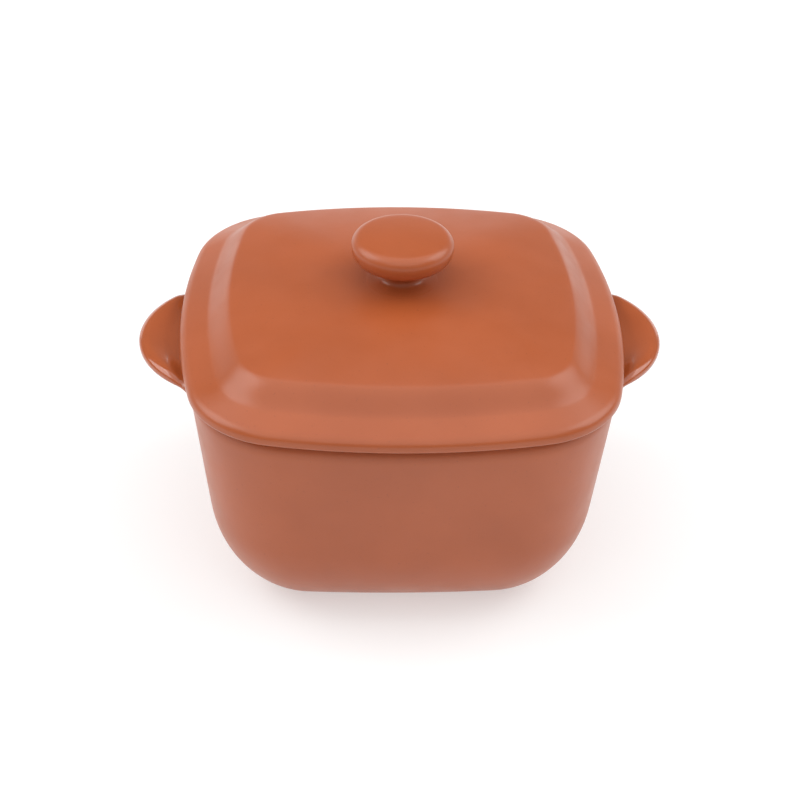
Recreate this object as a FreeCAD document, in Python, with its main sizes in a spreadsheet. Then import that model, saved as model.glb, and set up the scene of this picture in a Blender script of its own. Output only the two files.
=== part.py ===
"""Square covered casserole dish with lug handles, in stoneware.

The pot is a rounded square that leans in towards a low foot ring, with a lug handle on each side.
The lid rests on the pot's rim and carries a mushroom knob. Lengths are in millimetres and angles
in degrees. The origin is the centre of the foot, +Z is up, and the handles point along X.
"""
import FreeCAD, Part
import math
import os
import Sketcher
from FreeCAD import Vector

SIZES = {
    # pot
    "pot_height": 106.5,      # foot to the rim that the lid rests on
    "rim_half": 97.6,         # half the width of the pot across its rim
    "wall": 6.8,              # thickness of the wall, square to its face
    "wall_lean": 7.7,         # angle of the wall from upright
    "bowl_radius": 58.5,      # curve that takes the wall under the pot
    "bowl_level": 51.6,       # height of the centre of that curve
    "floor_level": 10,        # height of the floor inside
    "floor_round": 20,        # curve between the floor and the wall inside
    "rim_round": 2.4,         # rounding of the rim's two edges
    "foot_height": 3,         # height of the foot ring
    "foot_inset": 4,          # step in from the bowl to the foot ring
    "foot_width": 6,          # width of the foot ring's face
    "foot_recess": 2,         # depth of the hollow inside the foot ring
    "foot_round": 0.8,        # rounding of the foot ring's edges
    "corner_gain": 0.87,      # corner radius gained for each millimetre of half width
    "corner_loss": 33.6,      # taken off that radius
    "bulge_radius": 340,      # radius of the gently curved sides, at the rim
    # lid
    "seat_gap": 0.3,          # between the pot's rim and the lid's brim
    "lid_half": 100,          # half the width of the lid across its brim
    "lid_corner": 44.5,       # corner radius of the brim
    "lid_bulge": 305,         # radius of the brim's gently curved sides
    "brim_thick": 7.4,        # thickness of the brim
    "brim_round": 2.8,        # rounding of the brim's edges
    "shoulder_half": 90.5,    # half width of the shoulder where it leaves the brim
    "shoulder_rise": 11.7,    # height of the shoulder above the brim
    "plateau_half": 76.5,     # half width where the shoulder meets the domed top
    "plateau_corner": 21.5,   # corner radius of the domed top
    "corner_growth": 0.6,     # corner radius gained for each millimetre down the shoulder
    "shoulder_bulge": 268,    # radius of the domed top's gently curved sides
    "dome_rise": 6.3,         # rise of the top from the shoulder to the knob's seat
    "shell": 6.4,             # thickness of the domed top
    "hollow_half": 79,        # half width of the hollow under the shoulder
    "hollow_crown": 70,       # half width of the hollow where its ceiling starts
    "hollow_rise": 8,         # height of the hollow's rounded side
    "ring_gap": 1.6,          # between the locating ring and the inside of the pot
    "ring_width": 7,          # width of the locating ring
    "ring_depth": 5.5,        # depth of the locating ring below the brim
    "ring_round": 2,          # rounding of the locating ring's lower edges
    # knob
    "seat_half": 17,          # half width of the flat seat for the knob
    "knob_base": 13.5,        # radius of the flared base
    "knob_neck": 10,          # radius of the neck
    "knob_head": 23.1,        # radius of the head
    "head_level": 18.4,       # height of the head's widest point above the seat
    "head_curve": 8.7,        # radius of the head's underside
    "head_round": 2.4,        # radius of the head's upper edge
    "knob_height": 23.4,      # height of the middle of the head above the seat
    # handles
    "handle_reach": 119,      # from the middle of the pot to the handle's tip
    "handle_arc": 46.5,       # radius of the handle's outline
    "handle_start": 84,       # inner end of the clay before it is cut to the wall
    "handle_level": 104.2,    # height of the handle's lip
    "handle_thick": 6.5,      # thickness of the handle at its lip
    "handle_round": 3,        # rounding of the handle's edges
    "dish_margin": 6,         # width of the lip around the dish
    "dish_depth": 2.2,        # depth of the dish in the handle's top
    "dish_round": 2,          # curve at the bottom of the dish
}

BRIM_BOTTOM = "(<pot_height> + <seat_gap>)"
BRIM_TOP = f"({BRIM_BOTTOM} + <brim_thick>)"
SEAT_LEVEL = f"({BRIM_TOP} + <shoulder_rise> + <dome_rise>)"
LEAN = "(<wall_lean> * 1deg)"
RIM_INSIDE = f"(<rim_half> - <wall> / cos({LEAN}))"

START, END, CENTRE = 1, 2, 3    # a curve's points, as a sketch numbers them
X_AXIS, Y_AXIS = -1, -2         # a sketch's own axes; its origin is the start of the X axis
UP = Vector(0, 0, 1)


# ---------------------------------------------------------------- sheet, sketches and features

def make_sheet():
    sheet = doc.addObject("Spreadsheet::Sheet", "Sizes")
    for row, (name, size) in enumerate(SIZES.items(), start=1):
        sheet.set(f"A{row}", name)
        sheet.set(f"B{row}", str(size))
        sheet.setAlias(f"B{row}", name)
    doc.recompute()
    return sheet


def bound(text):
    """The expression that a text with <names> of sizes stands for."""
    return text.replace("<", "Sizes.").replace(">", "")


def value(text):
    return float(sheet.evalExpression(bound(text)))


def new_body(name):
    body = doc.addObject("PartDesign::Body", name)
    body.Label = name
    return body


def new_sketch(body, name, role="XY_Plane", level=None):
    """A sketch on one of the body's own planes, lifted to a level."""
    sketch = body.newObject("Sketcher::SketchObject", name)
    plane = next(item for item in body.Origin.OriginFeatures if item.Role == role)
    sketch.AttachmentSupport = [(plane, "")]
    sketch.MapMode = "FlatFace"
    if level:
        sketch.setExpression("AttachmentOffset.Base.z", bound(level))
    return sketch


def bind(sketch, text, kind, *places):
    """Add a dimension to a sketch and tie it to the sheet."""
    index = sketch.addConstraint(Sketcher.Constraint(kind, *places, value(text)))
    sketch.setExpression(f"Constraints[{index}]", bound(text))


def add_arc(sketch, centre, radius, start, end):
    """An arc that runs anticlockwise between two angles, in radians."""
    circle = Part.Circle(Vector(*centre), UP, radius)
    return sketch.addGeometry(Part.ArcOfCircle(circle, start, end))


def add_line(sketch, start, end):
    return sketch.addGeometry(Part.LineSegment(Vector(*start), Vector(*end)))


def rounded_square(body, name, level, half, corner, bulge):
    """A square with four gently curved sides and four round corners, all tangent."""
    sketch = new_sketch(body, name, level=level)
    half_size, corner_size, bulge_size = value(half), value(corner), value(bulge)
    offset = bulge_size - half_size
    place = (math.sqrt(2 * (bulge_size - corner_size) ** 2 - offset ** 2) - offset) / 2
    turn = math.atan2(place, place + offset)
    sides, corners = [], []
    for quarter in range(4):
        across = quarter * math.pi / 2
        centre = (-offset * math.cos(across), -offset * math.sin(across))
        sides.append(add_arc(sketch, centre, bulge_size, across - turn, across + turn))
        diagonal = across + math.pi / 4
        reach = place * math.sqrt(2)
        centre = (reach * math.cos(diagonal), reach * math.sin(diagonal))
        corner_end = across + math.pi / 2 - turn
        corners.append(add_arc(sketch, centre, corner_size, across + turn, corner_end))
    for index, side in enumerate(sides):
        following = sides[(index + 1) % 4]
        joins = [("Tangent", side, END, corners[index], START),
                 ("Tangent", corners[index], END, following, START),
                 ("PointOnObject", side, CENTRE, Y_AXIS if index % 2 else X_AXIS)]
        if index:
            joins += [("Equal", sides[0], side), ("Equal", corners[0], corners[index])]
        for join in joins:
            sketch.addConstraint(Sketcher.Constraint(*join))
        bind(sketch, f"({bulge}) - ({half})", "Distance", side, CENTRE, X_AXIS, START)
    bind(sketch, bulge, "Radius", sides[0])
    bind(sketch, corner, "Radius", corners[0])
    return sketch


def check_cut(name, before, after):
    if after >= before - 1:
        raise RuntimeError(f"{name} takes nothing away")


def loft(body, name, sections, cut=False):
    before = body.Shape.Volume if cut else 0
    feature = body.newObject("PartDesign::SubtractiveLoft" if cut else "PartDesign::AdditiveLoft", name)
    feature.Profile = sections[0]
    feature.Sections = sections[1:]
    doc.recompute()
    if cut:
        check_cut(name, before, body.Shape.Volume)
    return feature


def pad(body, name, sketch, length, downward=False):
    feature = body.newObject("PartDesign::Pad", name)
    feature.Profile = sketch
    feature.setExpression("Length", bound(length))
    feature.Reversed = downward
    doc.recompute()
    return feature


def pocket(body, name, sketch, depth, upward=False):
    before = body.Shape.Volume
    feature = body.newObject("PartDesign::Pocket", name)
    feature.Profile = sketch
    feature.setExpression("Length", bound(depth))
    feature.Reversed = upward
    doc.recompute()
    check_cut(name, before, body.Shape.Volume)
    return feature


def edges_at(body, level, least=0, most=1000):
    """Names of the body's edges that lie level, with their furthest point between two distances."""
    names = []
    for index, edge in enumerate(body.Shape.Edges, start=1):
        box = edge.BoundBox
        reach = max(abs(box.XMin), abs(box.XMax), abs(box.YMin), abs(box.YMax))
        flat = abs(box.ZMin - level) < 0.02 and abs(box.ZMax - level) < 0.02
        if flat and least < reach < most:
            names.append(f"Edge{index}")
    return names


def fillet(body, name, edges, radius):
    base = body.Tip
    feature = body.newObject("PartDesign::Fillet", name)
    feature.Base = (base, edges)
    feature.setExpression("Radius", bound(radius))
    doc.recompute()
    return feature


# ---------------------------------------------------------------- pot

def pot_half(level, inset):
    """Half the width of the pot at a level, on a surface moved in square to the wall."""
    radius = f"(<bowl_radius> - {inset})"
    middle = f"(<rim_half> - <bowl_radius> / cos{LEAN} - (<pot_height> - <bowl_level>) * tan{LEAN})"
    if value(level) >= value(bowl_start(inset)) - 0.01:
        return f"({middle} + {radius} / cos{LEAN} + ({level} - <bowl_level>) * tan{LEAN})"
    return f"({middle} + sqrt({radius}^2 - (<bowl_level> - {level})^2))"


def bowl_start(inset):
    """Level at which the straight wall turns into the curve under the pot."""
    return f"(<bowl_level> - (<bowl_radius> - {inset}) * sin{LEAN})"


def pot_outline(body, name, level, half):
    """A section of the pot: the corners tighten and the sides flatten as it narrows."""
    corner = f"(<corner_gain> * {half} - <corner_loss>)"
    bulge = f"(<bulge_radius> * (<rim_half> / {half})^2)"
    return rounded_square(body, name, level, half, corner, bulge)


def pot_sections(body, name, bottom, inset="0"):
    """Sections from the rim down, closer together where the wall turns under."""
    top = bowl_start(inset)
    levels = ["<pot_height>", f"((<pot_height> + {top}) / 2)", top]
    levels += [f"({top} - {share} * ({top} - {bottom}))" for share in (0.36, 0.66, 0.87)]
    levels.append(bottom)
    return [pot_outline(body, f"{name}_{index}", level, pot_half(level, inset))
            for index, level in enumerate(levels)]


def make_pot():
    body = new_body("pot_body")
    loft(body, "bowl", pot_sections(body, "outside", "<foot_height>"))
    foot_half = f"({pot_half('<foot_height>', '0')} - <foot_inset>)"
    outline = pot_outline(body, "foot_outline", "<foot_height>", foot_half)
    pad(body, "foot", outline, "<foot_height>", downward=True)
    outline = pot_outline(body, "recess_outline", None, f"({foot_half} - <foot_width>)")
    pocket(body, "recess", outline, "<foot_recess>", upward=True)
    fillet(body, "foot_rounding", edges_at(body, 0), "<foot_round>")
    loft(body, "cavity", pot_sections(body, "inside", "<floor_level>", "<wall>"), cut=True)
    fillet(body, "floor_rounding", edges_at(body, value("<floor_level>")), "<floor_round>")
    fillet(body, "rim_rounding", edges_at(body, value("<pot_height>")), "<rim_round>")
    return body


def make_handle(name, turn):
    """A lug handle that reaches along X, cut to the wall of the pot and then turned about Z."""
    body = new_body(name)
    outline = half_moon(body, "outline", "<handle_level>", "<handle_arc>")
    pad(body, "lug", outline, "<handle_thick>", downward=True)
    level = value("<handle_level>")
    tip = value("<handle_reach>") - 1
    edges = edges_at(body, level, tip) + edges_at(body, level - value("<handle_thick>"), tip)
    fillet(body, "edge_rounding", edges, "<handle_round>")
    outline = half_moon(body, "dish_outline", "<handle_level>", "(<handle_arc> - <dish_margin>)")
    pocket(body, "dish", outline, "<dish_depth>")
    fillet(body, "dish_rounding", edges_at(body, value("<handle_level> - <dish_depth>"), tip - 10),
           "<dish_round>")
    loft(body, "wall_cut", pot_sections(body, "outside", "<foot_height>"), cut=True)
    body.Placement = FreeCAD.Placement(Vector(), FreeCAD.Rotation(UP, turn))
    return body


def half_moon(body, name, level, radius):
    """An arc about the handle's centre, closed by a chord inside the wall."""
    sketch = new_sketch(body, name, level=level)
    middle = value("<handle_reach> - <handle_arc>")
    size, start = value(radius), value("<handle_start>")
    angle = math.acos((start - middle) / size)
    half = size * math.sin(angle)
    arc = add_arc(sketch, (middle, 0), size, -angle, angle)
    chord = add_line(sketch, (start, half), (start, -half))
    for join in (("Coincident", arc, END, chord, START), ("Coincident", chord, END, arc, START),
                 ("PointOnObject", arc, CENTRE, X_AXIS), ("Vertical", chord)):
        sketch.addConstraint(Sketcher.Constraint(*join))
    bind(sketch, "<handle_reach> - <handle_arc>", "DistanceX", X_AXIS, START, arc, CENTRE)
    bind(sketch, "<handle_start>", "DistanceX", X_AXIS, START, chord, START)
    bind(sketch, radius, "Radius", arc)
    return sketch


# ---------------------------------------------------------------- lid

def lid_outline(body, name, level, half):
    """A section of the lid above its brim; its corners grow rounder down the shoulder."""
    inner = f"min({half}; <plateau_half>)"
    corner = f"(<plateau_corner> * {inner} / <plateau_half> + <corner_growth> * ({half} - {inner}))"
    bulge = f"(<shoulder_bulge> * {half} / <plateau_half>)"
    return rounded_square(body, name, level, half, corner, bulge)


def shoulder_sections(body):
    """A slope in the shape of an S, level at the brim and at the edge of the top."""
    sections = []
    for angle in (0, 36, 72, 108, 144, 180):
        share = f"({angle} / 180)"
        half = f"(<shoulder_half> + {share} * (<plateau_half> - <shoulder_half>))"
        level = f"({BRIM_TOP} + <shoulder_rise> * (1 - cos({angle} * 1deg)) / 2)"
        sections.append(lid_outline(body, f"shoulder_{angle}", level, half))
    return sections


def hollow_sections(body):
    """A quarter ellipse under the shoulder, upright at the locating ring and level at the ceiling."""
    sections = []
    for angle in (0, 26, 48, 68, 90):
        half = f"(<hollow_crown> + (<hollow_half> - <hollow_crown>) * cos({angle} * 1deg))"
        level = f"({BRIM_TOP} + <shoulder_rise> - <shell> - <hollow_rise> * (1 - sin({angle} * 1deg)))"
        sections.append(lid_outline(body, f"hollow_{angle}", level, half))
    return sections


def dome_sections(body, name, edge, inset="0"):
    """A shallow parabola up from the edge of the top, or of the ceiling, to the middle."""
    sections = []
    for index, share in enumerate((0, 0.35, 0.7, 1)):
        half = f"({edge} + {share} * (<seat_half> - {edge}))"
        rise = f"({edge}^2 - {half}^2) / ({edge}^2 - <seat_half>^2)"
        level = f"({BRIM_TOP} + <shoulder_rise> - {inset} + <dome_rise> * {rise})"
        sections.append(lid_outline(body, f"{name}_{index}", level, half))
    return sections


def make_lid():
    body = new_body("lid_shell")
    outline = rounded_square(body, "brim_outline", BRIM_BOTTOM, "<lid_half>", "<lid_corner>", "<lid_bulge>")
    pad(body, "brim", outline, "<brim_thick>")
    edges = edges_at(body, value(BRIM_BOTTOM)) + edges_at(body, value(BRIM_TOP))
    fillet(body, "brim_rounding", edges, "<brim_round>")
    loft(body, "shoulder", shoulder_sections(body))
    loft(body, "dome", dome_sections(body, "dome", "<plateau_half>"))
    ring_bottom = f"({BRIM_BOTTOM} - <ring_depth>)"
    ring_half = f"({RIM_INSIDE} - <ring_gap>)"
    pad(body, "locating_ring", pot_outline(body, "ring_outline", BRIM_BOTTOM, ring_half),
        "<ring_depth>", downward=True)
    mouth = pot_outline(body, "mouth_outline", ring_bottom, f"({ring_half} - <ring_width>)")
    loft(body, "hollow", [mouth] + hollow_sections(body), cut=True)
    loft(body, "ceiling", dome_sections(body, "ceiling", "<hollow_crown>", "<shell>"), cut=True)
    fillet(body, "ring_rounding", edges_at(body, value(ring_bottom)), "<ring_round>")
    return body


def knob_profile(body):
    """Half of the knob: a flared base, a neck, a rounded underside and a slightly domed top."""
    sketch = new_sketch(body, "profile", "XZ_Plane")
    base, neck, head = value("<knob_base>"), value("<knob_neck>"), value("<knob_head>")
    curve, edge = value("<head_curve>"), value("<head_round>")
    foot = value(SEAT_LEVEL)
    throat = head - curve - neck
    neck_level = value("<head_level>") - curve - throat
    flare = ((base - neck) ** 2 + neck_level ** 2) / (2 * (base - neck))
    flare_end = math.atan2(-neck_level, base - neck - flare) + 2 * math.pi
    rise = value("<knob_height> - <head_level>") - edge
    dome = (rise ** 2 + (head - edge) ** 2) / (2 * rise)
    slope = math.asin((dome - rise) / dome)
    widest, summit = foot + value("<head_level>"), foot + value("<knob_height>")
    waist = foot + neck_level
    bottom = add_line(sketch, (0, foot), (base, foot))
    flared = add_arc(sketch, (neck + flare, waist), flare, math.pi, flare_end)
    throat_arc = add_arc(sketch, (neck + throat, waist), throat, math.pi / 2, math.pi)
    under = add_arc(sketch, (head - curve, widest), curve, -math.pi / 2, 0)
    rim = add_arc(sketch, (head - edge, widest), edge, 0, slope)
    top = add_arc(sketch, (0, summit - dome - edge), dome + edge, slope, math.pi / 2)
    axis = add_line(sketch, (0, summit), (0, foot))
    joins = [("Coincident", bottom, END, flared, END), ("Tangent", flared, START, throat_arc, END),
             ("Tangent", throat_arc, START, under, START), ("Tangent", under, END, rim, START),
             ("Tangent", rim, END, top, START), ("Coincident", top, END, axis, START),
             ("Coincident", axis, END, bottom, START), ("Horizontal", bottom),
             ("PointOnObject", bottom, START, Y_AXIS), ("PointOnObject", axis, START, Y_AXIS),
             ("PointOnObject", top, CENTRE, Y_AXIS),
             ("Horizontal", throat_arc, CENTRE, throat_arc, END),
             ("Vertical", under, CENTRE, under, START), ("Horizontal", under, CENTRE, under, END)]
    for join in joins:
        sketch.addConstraint(Sketcher.Constraint(*join))
    bind(sketch, SEAT_LEVEL, "DistanceY", X_AXIS, START, bottom, START)
    bind(sketch, "<knob_base>", "DistanceX", X_AXIS, START, bottom, END)
    bind(sketch, "<knob_neck>", "DistanceX", X_AXIS, START, throat_arc, END)
    bind(sketch, "<knob_head>", "DistanceX", X_AXIS, START, under, END)
    bind(sketch, f"({SEAT_LEVEL} + <head_level>)", "DistanceY", X_AXIS, START, under, END)
    bind(sketch, f"({SEAT_LEVEL} + <knob_height>)", "DistanceY", X_AXIS, START, axis, START)
    bind(sketch, "<head_curve>", "Radius", under)
    bind(sketch, "<head_round>", "Radius", rim)
    return sketch


def make_knob():
    body = new_body("lid_knob")
    turned = body.newObject("PartDesign::Revolution", "turned")
    turned.Profile = knob_profile(body)
    turned.ReferenceAxis = (turned.Profile[0], ["V_Axis"])
    turned.Angle = 360
    doc.recompute()
    return body


# ---------------------------------------------------------------- checks and files

def check_document():
    for item in doc.Objects:
        if "Invalid" in item.State or "Error" in item.State:
            raise RuntimeError(f"{item.Name} failed: {item.State}")


def save(bodies):
    os.makedirs("parts", exist_ok=True)
    for body in bodies:
        shape = body.Shape
        if shape.isNull() or not shape.isValid() or len(shape.Solids) != 1:
            raise RuntimeError(f"{body.Label} is not one valid solid")
    for body in bodies:
        body.Shape.exportStep(f"parts/{body.Label}.step")
        box = body.Shape.BoundBox
        print(f"{body.Label}: {body.Shape.Volume / 1000:.1f} cm3, "
              f"{box.XLength:.1f} x {box.YLength:.1f} x {box.ZLength:.1f} mm, "
              f"z {box.ZMin:.2f} to {box.ZMax:.2f}")


doc = FreeCAD.newDocument("casserole")
sheet = make_sheet()
pieces = [make_pot(), make_handle("handle_right", 0), make_handle("handle_left", 180),
          make_lid(), make_knob()]
doc.recompute()
check_document()
save(pieces)
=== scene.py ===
import math

import bmesh
import bpy
import numpy as np
from mathutils import Matrix, Vector


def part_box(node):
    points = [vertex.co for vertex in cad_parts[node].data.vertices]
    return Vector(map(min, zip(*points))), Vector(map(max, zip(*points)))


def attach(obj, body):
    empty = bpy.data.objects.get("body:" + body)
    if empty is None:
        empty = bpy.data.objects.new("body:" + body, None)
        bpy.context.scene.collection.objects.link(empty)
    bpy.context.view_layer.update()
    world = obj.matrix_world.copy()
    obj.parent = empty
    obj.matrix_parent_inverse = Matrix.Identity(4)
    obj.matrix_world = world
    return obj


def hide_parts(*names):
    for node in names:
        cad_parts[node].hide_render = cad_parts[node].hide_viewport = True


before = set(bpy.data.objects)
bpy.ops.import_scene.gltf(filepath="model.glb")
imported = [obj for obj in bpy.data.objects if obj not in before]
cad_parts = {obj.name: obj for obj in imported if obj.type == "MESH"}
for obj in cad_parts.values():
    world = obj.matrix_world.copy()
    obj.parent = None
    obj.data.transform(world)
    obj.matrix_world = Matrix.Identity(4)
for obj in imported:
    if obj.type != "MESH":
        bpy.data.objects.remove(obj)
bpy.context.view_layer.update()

# Lengths are in millimetres until a piece is made, which turns them into metres.
MM = 0.001


def corners_of(node):
    """Lowest and highest corner of a CAD node, in millimetres."""
    low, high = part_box(node)
    return Vector(low) / MM, Vector(high) / MM


pot_low, pot_high = corners_of("pot_body")
lid_low, lid_high = corners_of("lid_shell")
knob_low, knob_high = corners_of("lid_knob")
handle_low, handle_high = corners_of("handle_right")

# ---------------------------------------------------------------- sizes

# pot
RIM_LEVEL = pot_high.z
RIM_HALF = pot_high.y + 0.2
RIM_ROUND = 4.9
RIM_DROP = 6.5
RIM_ROUND_INSIDE = 1.8
WALL = 6.8
LEAN = math.radians(7.7)
BOWL_RADIUS = 58.5
BOWL_LEVEL = 51.6
BOWL_START = 6
FLOOR_LEVEL = 10
FLOOR_ROUND = 20
FOOT_WALL_TOP = 2.4
FOOT_HALF = 59.8
FOOT_WIDTH = 6
FOOT_RECESS = 2
FOOT_ROUND = 0.9
SIDE_BULGE = 340
CORNER_SHARE = 0.87
CORNER_CUT = 33.6

# lid
BRIM_BOTTOM = RIM_LEVEL + 0.3
BRIM_TOP = BRIM_BOTTOM + 7.4
BRIM_HALF = lid_high.y
BRIM_CORNER = 44.5
BRIM_BULGE = 305
BRIM_ROUND = 2
BRIM_ROLL_WIDE = 7
BRIM_ROLL_HIGH = 4.6
BRIM_FALL = 0.34
SHOULDER_HALF = 88
PLATEAU_HALF = 76.5
PLATEAU_CORNER = 21.5
PLATEAU_LEVEL = BRIM_TOP + 11.7
CORNER_GROWTH = 0.6
SHOULDER_BULGE = 268
SEAT_HALF = 17
SEAT_LEVEL = lid_high.z
DOME_RISE = SEAT_LEVEL - PLATEAU_LEVEL
SHELL = 6.4
HOLLOW_HALF = 79
HOLLOW_CROWN = 70
HOLLOW_RISE = 8
RING_HALF = 89.1
RING_WIDTH = 7
RING_BOTTOM = lid_low.z
RING_ROUND = 2
RING_FILLET = 1.2

# knob, with heights above the lid's seat
KNOB_BASE = 16.8
KNOB_NECK = 9
KNOB_HEAD = knob_high.x
HEAD_LEVEL = 17.4
HEAD_CURVE = 8
HEAD_ROUND = 5
KNOB_HEIGHT = knob_high.z - SEAT_LEVEL
KNOB_SUNK = 1

# handles
LUG_REACH = handle_high.x
LUG_ARC = 46.5
LUG_TOP = handle_high.z
LUG_BOTTOM = handle_low.z
LUG_EDGE = 3
LUG_ROLL = 5
DISH_DEPTH = 2.6
DISH_FLAT = 2
DISH_RUN = 14
ROOT_RUN = 9
LUG_SUNK = 0.08
BLEND_REACH = 3.6
BLEND_EXTRA = 2.4
ROOT_SPAN = 48.5
ROOT_TOP = 105.7
ROOT_BOTTOM = 90.2
ROOT_SUNK = 1.5

# mesh
SIDE_STEPS = 16
CORNER_STEPS = 12
KNOB_STEPS = 72
HANDLE_ROWS = 120
TONGUE_STEPS = 24
ROOT_STEPS = 6

# ---------------------------------------------------------------- mesh helpers


def arc(centre, radius, start, end, steps):
    """Points on an arc, angles in degrees, both ends included."""
    angles = np.radians(np.linspace(start, end, steps + 1))
    return [(centre[0] + radius * math.cos(a), centre[1] + radius * math.sin(a)) for a in angles]


def line(start, end, steps):
    """Points on a straight run, without its start."""
    return [tuple(np.array(start) + (np.array(end) - np.array(start)) * k / steps)
            for k in range(1, steps + 1)]


def bezier(points, steps):
    """Points on a cubic curve, both ends included."""
    a, b, c, d = (np.array(p, float) for p in points)
    shares = np.linspace(0, 1, steps + 1)
    return [tuple(a * (1 - s) ** 3 + 3 * b * s * (1 - s) ** 2 + 3 * c * s * s * (1 - s) + d * s ** 3)
            for s in shares]


def corner_place(half, corner, bulge):
    """X and Y of the centre of a round corner that is tangent to both of its swollen sides."""
    offset = bulge - half
    return (np.sqrt(2 * (bulge - corner) ** 2 - offset ** 2) - offset) / 2


def rounded_square(half, corner, bulge, level):
    """A loop of points: four gently swollen sides and four round corners, tangent where they meet."""
    offset = bulge - half
    place = corner_place(half, corner, bulge)
    turn = math.atan2(place, place + offset)
    side = np.linspace(-turn, turn, SIDE_STEPS, endpoint=False)
    bend = np.linspace(turn, math.pi / 2 - turn, CORNER_STEPS, endpoint=False)
    x = np.concatenate([bulge * np.cos(side) - offset, corner * np.cos(bend) + place])
    y = np.concatenate([bulge * np.sin(side), corner * np.sin(bend) + place])
    quarters = [(x, y), (-y, x), (-x, -y), (y, -x)]
    loop = np.concatenate([np.stack(quarter, axis=1) for quarter in quarters])
    return np.column_stack([loop, np.full(len(loop), level)])


def circle(radius, level, steps=KNOB_STEPS):
    angles = np.linspace(0, 2 * math.pi, steps, endpoint=False)
    return np.column_stack([radius * np.cos(angles), radius * np.sin(angles), np.full(steps, level)])


def shrunk(loop, share):
    """The same loop, pulled in towards the Z axis."""
    return loop * np.array([share, share, 1])


def skin(name, loops):
    """A closed mesh through a row of loops, with a point closing each end."""
    size = len(loops[0])
    points = np.concatenate(list(loops) + [loops[0].mean(0)[None], loops[-1].mean(0)[None]]) * MM
    first, last = len(points) - 2, len(points) - 1
    faces = []
    for row in range(len(loops) - 1):
        for k in range(size):
            near, far = row * size, (row + 1) * size
            after = (k + 1) % size
            faces.append((near + k, near + after, far + after, far + k))
    for k in range(size):
        after = (k + 1) % size
        end = (len(loops) - 1) * size
        faces.append((after, k, first))
        faces.append((end + k, end + after, last))
    mesh = bpy.data.meshes.new(name)
    mesh.from_pydata(points.tolist(), [], faces)
    build = bmesh.new()
    build.from_mesh(mesh)
    bmesh.ops.recalc_face_normals(build, faces=build.faces)
    build.to_mesh(mesh)
    build.free()
    mesh.polygons.foreach_set("use_smooth", [True] * len(mesh.polygons))
    piece = bpy.data.objects.new(name, mesh)
    bpy.context.scene.collection.objects.link(piece)
    smooth = piece.modifiers.new("smooth", "SUBSURF")
    smooth.levels = 1
    smooth.render_levels = 1
    return piece


# ---------------------------------------------------------------- pot

WALL_TAN = math.tan(LEAN)
WALL_COS = math.cos(LEAN)
BOWL_MIDDLE = RIM_HALF - BOWL_RADIUS / WALL_COS - (RIM_LEVEL - BOWL_LEVEL) * WALL_TAN
FILLET_LEVEL = FLOOR_LEVEL + FLOOR_ROUND
RIM_TURN = -math.atan(RIM_DROP / RIM_ROUND * WALL_TAN)
RIM_INSET = RIM_ROUND * math.cos(RIM_TURN) - RIM_DROP * math.sin(RIM_TURN) * WALL_TAN


def wall_half(level, inset=0):
    """Half width of the pot's straight wall at a level, or of its inner face."""
    return RIM_HALF - (RIM_LEVEL - level) * WALL_TAN - inset / WALL_COS


def pot_plan(half):
    """Corner radius and side radius of the pot where it is this wide: it gets squarer lower down."""
    return CORNER_SHARE * half - CORNER_CUT, SIDE_BULGE * (RIM_HALF / half) ** 2


def pot_loop(half, level):
    return rounded_square(half, *pot_plan(half), level)


def foot_points():
    """Recess, foot ring and the curve from the ring up to the bowl."""
    inner, outer = FOOT_HALF - FOOT_WIDTH, FOOT_HALF
    drop = math.degrees(math.asin((BOWL_START - BOWL_LEVEL) / BOWL_RADIUS))
    start = arc((BOWL_MIDDLE, BOWL_LEVEL), BOWL_RADIUS, drop, drop, 1)[0]
    pull = 4.5
    knee = (start[0] + pull * math.sin(math.radians(drop)), start[1] - pull * math.cos(math.radians(drop)))
    points = [(inner - 2.2, FOOT_RECESS), (inner - 0.8, FOOT_RECESS)]
    points += arc((inner - 0.5, FOOT_RECESS - 0.5), 0.5, 90, 0, 2)
    points += arc((inner + FOOT_ROUND, FOOT_ROUND), FOOT_ROUND, 180, 270, 4)
    points += line(points[-1], (outer - FOOT_ROUND, 0), 3)
    points += arc((outer - FOOT_ROUND, FOOT_ROUND), FOOT_ROUND, 270, 360, 4)[1:]
    points += bezier([(outer, 1.3), (outer, FOOT_WALL_TOP), knee, start], 8)
    return points


def rim_points():
    """The rim's outer rounding, taller than it is wide, up from the straight wall."""
    turns = np.linspace(RIM_TURN, math.pi / 2, 9)
    middle = wall_half(RIM_LEVEL - RIM_DROP) - RIM_INSET
    return [(middle + RIM_ROUND * math.cos(turn), RIM_LEVEL - RIM_DROP * (1 - math.sin(turn)))
            for turn in turns]


def pot_points():
    """The pot's section, from the middle of its underside round to the middle of its floor."""
    lean = math.degrees(LEAN)
    centre = (BOWL_MIDDLE, BOWL_LEVEL)
    drop = math.degrees(math.asin((BOWL_START - BOWL_LEVEL) / BOWL_RADIUS))
    inside = BOWL_RADIUS - WALL
    reach = inside - FLOOR_ROUND
    dip = math.degrees(math.asin((FILLET_LEVEL - BOWL_LEVEL) / reach))
    inner_level = RIM_LEVEL - RIM_ROUND_INSIDE
    inner = wall_half(inner_level, WALL) + RIM_ROUND_INSIDE / WALL_COS
    fillet = (BOWL_MIDDLE + reach * math.cos(math.radians(dip)), FILLET_LEVEL)
    points = foot_points()
    points += arc(centre, BOWL_RADIUS, drop, -lean, 10)[1:]
    rounding = rim_points()
    points += line(points[-1], rounding[0], 8) + rounding[1:]
    points += arc((inner, inner_level), RIM_ROUND_INSIDE, 90, 180 - lean, 6)
    turned = arc(centre, inside, -lean, dip, 6)
    points += line(points[-1], turned[0], 8) + turned[1:]
    points += arc(fillet, FLOOR_ROUND, dip, -90, 8)[1:]
    return points


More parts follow.
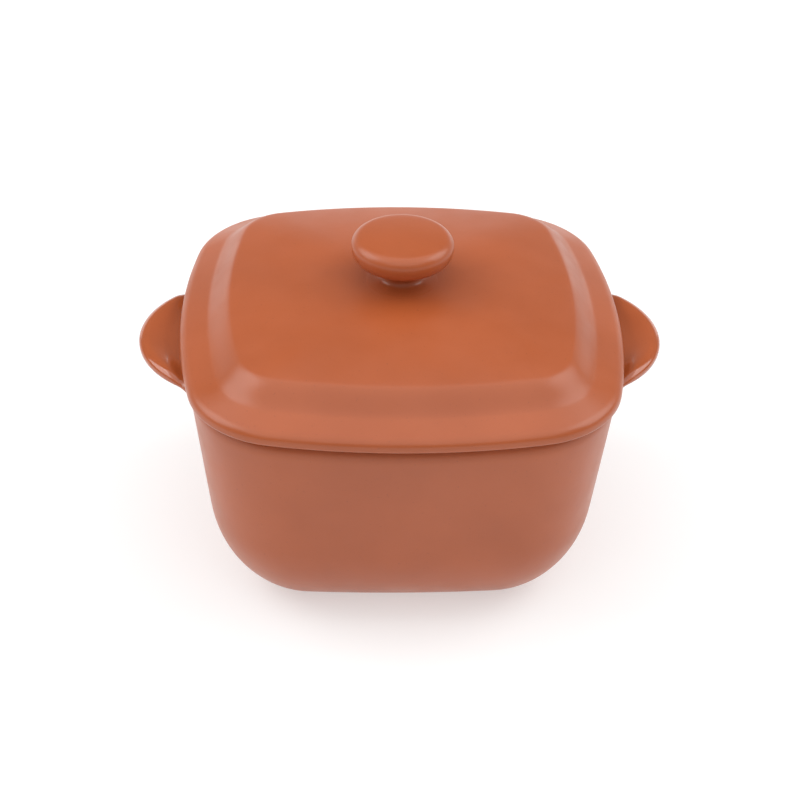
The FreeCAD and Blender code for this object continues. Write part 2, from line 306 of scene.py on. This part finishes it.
def make_pot():
    points = pot_points()
    loops = [pot_loop(half, level) for half, level in points]
    under = [shrunk(loops[0], share) for share in (0.1, 0.3, 0.55, 0.8)]
    floor = [shrunk(loops[-1], share) for share in (0.8, 0.55, 0.3, 0.1)]
    return skin("pot_vessel", under + loops + floor)


# ---------------------------------------------------------------- lid


ROLL_TURN = math.atan(BRIM_ROLL_HIGH / (BRIM_ROLL_WIDE * BRIM_FALL))
ROLL_HALF = BRIM_HALF - BRIM_ROLL_WIDE * (1 - math.cos(ROLL_TURN))
ROLL_LEVEL = BRIM_TOP - BRIM_ROLL_HIGH * (1 - math.sin(ROLL_TURN))
SHOULDER_FOOT = ROLL_LEVEL + BRIM_FALL * (ROLL_HALF - SHOULDER_HALF)


def lid_loop(half, level):
    """A section of the lid above its brim; its corners grow rounder down the shoulder."""
    inner = min(half, PLATEAU_HALF)
    corner = PLATEAU_CORNER * inner / PLATEAU_HALF + CORNER_GROWTH * (half - inner)
    return rounded_square(half, corner, SHOULDER_BULGE * half / PLATEAU_HALF, level)


def brim_loop(half, level):
    inset = BRIM_HALF - half
    return rounded_square(half, BRIM_CORNER - inset, BRIM_BULGE - inset, level)


def blended(first, second, share):
    return first * (1 - share) + second * share


def dome(half, edge=PLATEAU_HALF, inset=0):
    """Level of the lid's shallow top, or of the ceiling under it."""
    share = (edge ** 2 - half ** 2) / (edge ** 2 - SEAT_HALF ** 2)
    return PLATEAU_LEVEL - inset + DOME_RISE * share


def ceiling_loops():
    """The hollow under the lid, from its middle out to the top of the locating ring."""
    middle = lid_loop(SEAT_HALF, dome(SEAT_HALF, HOLLOW_CROWN, SHELL))
    loops = [shrunk(middle, share) for share in (0.15, 0.5, 1)]
    for half in np.linspace(SEAT_HALF, HOLLOW_CROWN, 9)[1:]:
        loops.append(lid_loop(half, dome(half, HOLLOW_CROWN, SHELL)))
    for angle in np.radians((75, 60, 45, 30, 15, 0)):
        half = HOLLOW_CROWN + (HOLLOW_HALF - HOLLOW_CROWN) * math.cos(angle)
        loops.append(lid_loop(half, PLATEAU_LEVEL - SHELL - HOLLOW_RISE * (1 - math.sin(angle))))
    return loops


def ring_loops():
    """The locating ring, from the hollow round to the brim's underside."""
    inner = RING_HALF - RING_WIDTH
    hollow = lid_loop(HOLLOW_HALF, PLATEAU_LEVEL - SHELL - HOLLOW_RISE)
    mouth = pot_loop(inner, RING_BOTTOM + RING_ROUND)
    loops = [blended(hollow, mouth, share) for share in (0.25, 0.5, 0.75)]
    points = arc((inner + RING_ROUND, RING_BOTTOM + RING_ROUND), RING_ROUND, 180, 270, 5)
    points += line(points[-1], (RING_HALF - RING_ROUND, RING_BOTTOM), 2)
    points += arc((RING_HALF - RING_ROUND, RING_BOTTOM + RING_ROUND), RING_ROUND, 270, 360, 5)[1:]
    points += arc((RING_HALF + RING_FILLET, BRIM_BOTTOM - RING_FILLET), RING_FILLET, 180, 90, 4)
    return loops + [pot_loop(half, level) for half, level in points]


def edge_loops():
    """The brim: its underside, its lip and its broad roll, up to the start of its sloping top."""
    points = arc((BRIM_HALF - BRIM_ROUND, BRIM_BOTTOM + BRIM_ROUND), BRIM_ROUND, 270, 360, 6)
    for turn in np.linspace(0, ROLL_TURN, 10):
        across = BRIM_ROLL_WIDE * (1 - math.cos(turn))
        down = BRIM_ROLL_HIGH * (1 - math.sin(turn))
        points.append((BRIM_HALF - across, BRIM_TOP - down))
    return [brim_loop(half, level) for half, level in points]


def shoulder_loops():
    """The shoulder's S-shaped slope, from the brim up to the edge of the domed top."""
    run = 0.3 * (SHOULDER_HALF - PLATEAU_HALF)
    dome_slope = 2 * DOME_RISE * PLATEAU_HALF / (PLATEAU_HALF ** 2 - SEAT_HALF ** 2)
    curve = bezier([(SHOULDER_HALF, SHOULDER_FOOT),
                    (SHOULDER_HALF - run, SHOULDER_FOOT + run * BRIM_FALL),
                    (PLATEAU_HALF + run, PLATEAU_LEVEL - run * dome_slope),
                    (PLATEAU_HALF, PLATEAU_LEVEL)], 14)
    return [lid_loop(half, level) for half, level in curve]


def top_loops():
    loops = [lid_loop(half, dome(half)) for half in np.linspace(PLATEAU_HALF, SEAT_HALF, 9)[1:]]
    return loops + [shrunk(loops[-1], share) for share in (0.5, 0.15)]


def make_lid():
    edge, rising = edge_loops(), shoulder_loops()
    ring = ring_loops()
    under = [blended(ring[-1], edge[0], share) for share in (0.3, 0.7)]
    over = [blended(edge[-1], rising[0], share) for share in (0.3, 0.7)]
    loops = ceiling_loops() + ring + under + edge + over + rising + top_loops()
    return skin("lid_cover", loops)


# ---------------------------------------------------------------- knob


def knob_points():
    """Half of the knob's section, with heights above the lid's seat."""
    throat = KNOB_HEAD - HEAD_CURVE - KNOB_NECK
    waist = HEAD_LEVEL - HEAD_CURVE - throat
    points = [(KNOB_BASE - 6, -KNOB_SUNK), (KNOB_BASE, -KNOB_SUNK)]
    points += bezier([(KNOB_BASE, 0), (KNOB_NECK + 1.5, 0),
                      (KNOB_NECK, 0.35 * waist), (KNOB_NECK, waist)], 10)
    points += arc((KNOB_NECK + throat, waist), throat, 180, 90, 5)[1:]
    points += arc((KNOB_HEAD - HEAD_CURVE, HEAD_LEVEL), HEAD_CURVE, -90, 0, 8)[1:]
    points += arc((KNOB_HEAD - HEAD_ROUND, HEAD_LEVEL), HEAD_ROUND, 0, 83, 7)[1:]
    half, level = points[-1]
    for share in (0.85, 0.7, 0.5, 0.3, 0.12):
        points.append((half * share, KNOB_HEIGHT - (KNOB_HEIGHT - level) * share ** 2))
    return points


def make_knob():
    loops = [circle(radius, SEAT_LEVEL + level) for radius, level in knob_points()]
    return skin("lid_button", loops)


# ---------------------------------------------------------------- handles


def smoothstep(value, low, high):
    share = np.clip((value - low) / (high - low), 0, 1)
    return share * share * (3 - 2 * share)


def wall_face(y, z):
    """X of the pot's outer face beside the right handle, round into its corners."""
    half = wall_half(z)
    corner, bulge = pot_plan(half)
    place = corner_place(half, corner, bulge)
    side = half - bulge + np.sqrt(bulge ** 2 - y ** 2)
    bend = place + np.sqrt(np.maximum(corner ** 2 - (np.abs(y) - place) ** 2, 0))
    return np.where(np.abs(y) > bulge * place / (bulge - corner), bend, side)


def wall_gap(x, y, z):
    """Distance from the pot's outer face and its rounded rim, taken a hair inside the clay."""
    level = RIM_LEVEL - RIM_DROP
    straight = (x - wall_face(y, z)) * WALL_COS
    across = np.maximum(x - wall_face(y, level) + RIM_INSET, 0)
    rounded = np.hypot(across, (z - level) * RIM_ROUND / RIM_DROP) - RIM_ROUND
    return np.where(z > level + RIM_DROP * math.sin(RIM_TURN), rounded, straight) + LUG_SUNK


def lug_gap(x, y, z):
    """Distance from the lug alone: a round plate, dished on top and lower at its root."""
    plan = np.hypot(x - LUG_REACH + LUG_ARC, y) - LUG_ARC
    sunk = smoothstep(-plan, DISH_FLAT, DISH_FLAT + DISH_RUN)
    rooted = 1 - smoothstep(x - wall_face(y, z), 0, ROOT_RUN)
    top = LUG_TOP - DISH_DEPTH * (1 - (1 - sunk) * (1 - rooted))
    middle, half = (top + LUG_BOTTOM) / 2, (top - LUG_BOTTOM) / 2
    across = LUG_EDGE + np.maximum(plan, plan * LUG_EDGE / LUG_ROLL)
    along = np.abs(z - middle) - half + LUG_EDGE
    corner = np.hypot(np.maximum(across, 0), np.maximum(along, 0))
    return corner + np.minimum(np.maximum(across, along), 0) - LUG_EDGE


def handle_gap(x, y, z):
    """The lug run smoothly into the wall, with a wider curve below than above."""
    reach = BLEND_REACH + BLEND_EXTRA * (1 - smoothstep(z, LUG_BOTTOM, LUG_TOP - 1))
    lug, wall = lug_gap(x, y, z), wall_gap(x, y, z)
    mix = np.maximum(reach - np.abs(lug - wall), 0) / reach
    return np.minimum(lug, wall) - mix * mix * reach / 4


def pulled_on(points):
    """Moves each point onto the handle's surface, along the slope of its distance."""
    step = 0.02
    for _ in range(14):
        gap = handle_gap(*points.T)
        slope = np.stack([(handle_gap(*(points + shift).T) - handle_gap(*(points - shift).T)) / (2 * step)
                          for shift in np.eye(3) * step], axis=1)
        size = np.maximum((slope ** 2).sum(1), 0.05)
        points = points - slope * (0.8 * gap / size)[:, None]
    return points


def lug_tip(y, z):
    """How far the handle stands out from the wall at y, found by halving."""
    low, high = np.zeros_like(y), np.full_like(y, 40.0)
    for _ in range(30):
        middle = (low + high) / 2
        inside = handle_gap(wall_face(y, z) + middle, y, z) < 0
        low, high = np.where(inside, middle, low), np.where(inside, high, middle)
    return low


def handle_loops():
    """Sections of the right handle from front to back, each closed inside the pot's wall."""
    middle = (LUG_TOP + LUG_BOTTOM) / 2
    thick = (LUG_TOP - LUG_BOTTOM) / 2
    tongue = np.radians(np.linspace(-90, 90, 2 * TONGUE_STEPS + 1))
    fade = np.linspace(0, 1, ROOT_STEPS + 1)[1:]
    loops = []
    for turn in np.radians(np.linspace(-87, 87, HANDLE_ROWS)):
        y = ROOT_SPAN * math.sin(turn)
        narrow = math.sqrt(1 - abs(math.sin(turn)) ** 6)
        tip = float(lug_tip(np.array([y]), np.array([middle]))[0])
        top = middle + (ROOT_TOP - middle) * narrow
        bottom = middle - (middle - ROOT_BOTTOM) * narrow
        high, low = middle + thick * narrow, middle - thick * narrow
        z = np.concatenate([(low + (bottom - low) * fade)[::-1], middle + thick * narrow * np.sin(tongue),
                            high + (top - high) * fade])
        out = np.concatenate([0 * fade, tip * np.cos(tongue), 0 * fade])
        rows = np.full_like(z, y)
        surface = pulled_on(np.column_stack([wall_face(rows, z) + out, rows, z]))
        ends = surface[[-1, 0]] - np.array([ROOT_SUNK, 0, 0])
        loops.append(np.concatenate([surface, ends]))
    return loops


def make_handle(name, side):
    loops = [loop * np.array([side, 1, 1]) for loop in handle_loops()]
    return skin(name, loops)


# ---------------------------------------------------------------- materials


def new_node(tree, kind, **settings):
    node = tree.nodes.new(kind)
    for key, value in settings.items():
        setattr(node, key, value)
    return node


def noise(tree, place, scale, detail=3, roughness=0.5):
    node = new_node(tree, "ShaderNodeTexNoise")
    node.inputs["Scale"].default_value = scale
    node.inputs["Detail"].default_value = detail
    node.inputs["Roughness"].default_value = roughness
    tree.links.new(place, node.inputs["Vector"])
    return node.outputs["Fac"]


def stretched(tree, source, low, high, first, last):
    """source, from low to high, stretched to run from first to last."""
    node = new_node(tree, "ShaderNodeMapRange")
    for key, value in (("From Min", low), ("From Max", high), ("To Min", first), ("To Max", last)):
        node.inputs[key].default_value = value
    tree.links.new(source, node.inputs["Value"])
    return node.outputs["Result"]


def mixed(tree, share, first, second):
    """Two colours mixed; either can be a socket or a plain colour."""
    node = new_node(tree, "ShaderNodeMix", data_type="RGBA")
    tree.links.new(share, node.inputs["Factor"])
    for key, value in ((6, first), (7, second)):
        if isinstance(value, tuple):
            node.inputs[key].default_value = (*value, 1)
        else:
            tree.links.new(value, node.inputs[key])
    return node.outputs[2]


def bumped(tree, height, strength, distance, normal=None):
    node = new_node(tree, "ShaderNodeBump")
    node.inputs["Strength"].default_value = strength
    node.inputs["Distance"].default_value = distance
    tree.links.new(height, node.inputs["Height"])
    if normal is not None:
        tree.links.new(normal, node.inputs["Normal"])
    return node.outputs["Normal"]


DEEP_CLAY = (0.385, 0.086, 0.024)
WARM_CLAY = (0.42, 0.096, 0.028)
SPECK = (0.19, 0.05, 0.022)
RAW_CLAY = (0.46, 0.24, 0.14)


def glaze(name, roughness, coat, bare_below=None):
    """Terracotta glaze with cloudy colour, fine specks, uneven gloss and a faintly rippled surface."""
    material = bpy.data.materials.new(name)
    material.use_nodes = True
    tree = material.node_tree
    shader = tree.nodes["Principled BSDF"]
    place = new_node(tree, "ShaderNodeTexCoord").outputs["Object"]
    cloud = stretched(tree, noise(tree, place, 24, 4), 0.35, 0.65, 0, 1)
    colour = mixed(tree, cloud, DEEP_CLAY, WARM_CLAY)
    speck = stretched(tree, noise(tree, place, 900, 2), 0.68, 0.76, 0, 0.35)
    colour = mixed(tree, speck, colour, SPECK)
    gloss = stretched(tree, noise(tree, place, 70, 3), 0.3, 0.7, roughness - 0.035, roughness + 0.045)
    normal = bumped(tree, noise(tree, place, 16, 2), 0.2, 0.0012)
    normal = bumped(tree, noise(tree, place, 420, 2), 0.05, 0.0003, normal)
    if bare_below is not None:
        height = new_node(tree, "ShaderNodeSeparateXYZ")
        tree.links.new(place, height.inputs["Vector"])
        bare = stretched(tree, height.outputs["Z"], bare_below, bare_below - 0.0004, 0, 1)
        grain = mixed(tree, noise(tree, place, 1500, 3), RAW_CLAY, DEEP_CLAY)
        colour = mixed(tree, bare, colour, grain)
    tree.links.new(colour, shader.inputs["Base Color"])
    tree.links.new(gloss, shader.inputs["Roughness"])
    tree.links.new(normal, shader.inputs["Normal"])
    shader.inputs["IOR"].default_value = 1.5
    shader.inputs["Coat Weight"].default_value = coat
    shader.inputs["Coat Roughness"].default_value = 0.08
    return material


def floor_finish():
    material = bpy.data.materials.new("studio_paper")
    material.use_nodes = True
    tree = material.node_tree
    shader = tree.nodes["Principled BSDF"]
    shader.inputs["Base Color"].default_value = (0.55, 0.55, 0.55, 1)
    shader.inputs["Roughness"].default_value = 0.9
    shader.inputs["Specular IOR Level"].default_value = 0.1
    shader.inputs["Emission Color"].default_value = (1, 1, 1, 1)
    shader.inputs["Emission Strength"].default_value = 0.5
    return material


# ---------------------------------------------------------------- assembly


def place_piece(piece, material, body, node):
    piece.data.materials.append(material)
    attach(piece, body)
    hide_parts(node)


def make_dish():
    satin_pot = glaze("satin_glaze_pot", 0.33, 0.0, bare_below=0.0006)
    satin_lid = glaze("satin_glaze_lid", 0.33, 0.0)
    gloss = glaze("gloss_glaze_lugs", 0.13, 0.3)
    place_piece(make_pot(), satin_pot, "pot", "pot_body")
    place_piece(make_lid(), satin_lid, "lid", "lid_shell")
    place_piece(make_knob(), satin_lid, "lid", "lid_knob")
    place_piece(make_handle("lug_right", 1), gloss, "pot", "handle_right")
    place_piece(make_handle("lug_left", -1), gloss, "pot", "handle_left")


# ---------------------------------------------------------------- studio


def make_floor():
    reach = 4.0
    mesh = bpy.data.meshes.new("studio_floor")
    mesh.from_pydata([(-reach, -reach, 0), (reach, -reach, 0), (reach, reach, 0), (-reach, reach, 0)],
                     [], [(0, 1, 2, 3)])
    floor = bpy.data.objects.new("studio_floor", mesh)
    bpy.context.scene.collection.objects.link(floor)
    mesh.materials.append(floor_finish())


def make_light(name, position, target, size, power):
    light = bpy.data.lights.new(name, "AREA")
    light.shape = "RECTANGLE"
    light.size, light.size_y = size
    light.energy = power
    lamp = bpy.data.objects.new(name, light)
    aim = Vector(target) - Vector(position)
    lamp.matrix_world = Matrix.Translation(position) @ aim.to_track_quat("-Z", "Y").to_matrix().to_4x4()
    bpy.context.scene.collection.objects.link(lamp)


def make_world(horizon, air):
    """Plain white air, brighter in a thin band at the horizon."""
    world = bpy.data.worlds.new("studio_air")
    world.use_nodes = True
    tree = world.node_tree
    background = tree.nodes["Background"]
    background.inputs["Color"].default_value = (1, 1, 1, 1)
    height = new_node(tree, "ShaderNodeSeparateXYZ")
    tree.links.new(new_node(tree, "ShaderNodeTexCoord").outputs["Generated"], height.inputs["Vector"])
    strength = stretched(tree, height.outputs["Z"], 0.03, 0.12, horizon, air)
    tree.links.new(strength, background.inputs["Strength"])
    bpy.context.scene.world = world


def make_camera():
    """Looks down at the dish from the front, turned and tilted a little."""
    azimuth, elevation, roll = (math.radians(angle) for angle in (-2.862, 34.491, 1.473))
    target = Vector((0.00058, 0, 0.0662))
    back = Vector((math.sin(azimuth) * math.cos(elevation), -math.cos(azimuth) * math.cos(elevation),
                   math.sin(elevation)))
    right = (-back).cross(Vector((0, 0, 1))).normalized()
    up = right.cross(-back)
    level = right * math.cos(roll) + up * math.sin(roll)
    upright = up * math.cos(roll) - right * math.sin(roll)
    data = bpy.data.cameras.new("studio_camera")
    data.lens = 96.4
    data.sensor_width = 36
    camera = bpy.data.objects.new("studio_camera", data)
    turn = Matrix((level, upright, back)).transposed().to_4x4()
    camera.matrix_world = Matrix.Translation(target + back) @ turn
    bpy.context.scene.collection.objects.link(camera)
    bpy.context.scene.camera = camera


make_dish()
make_floor()
make_light("softbox_above", (0, -0.55, 1.4), (0, -0.55, 0), (2.4, 2.7), 25.5)
make_light("softbox_left", (-1.1, 0.15, 0.95), (0, 0.05, 0.1), (1.0, 0.9), 9)
make_light("softbox_right", (1.1, 0.15, 0.95), (0, 0.05, 0.1), (1.0, 0.9), 8)
make_light("softbox_back", (0, 1.9, 0.35), (0, 0, 0.1), (3.0, 0.6), 5)
make_world(0.9, 0.2)
make_camera()
bpy.context.scene.view_settings.view_transform = "Standard"
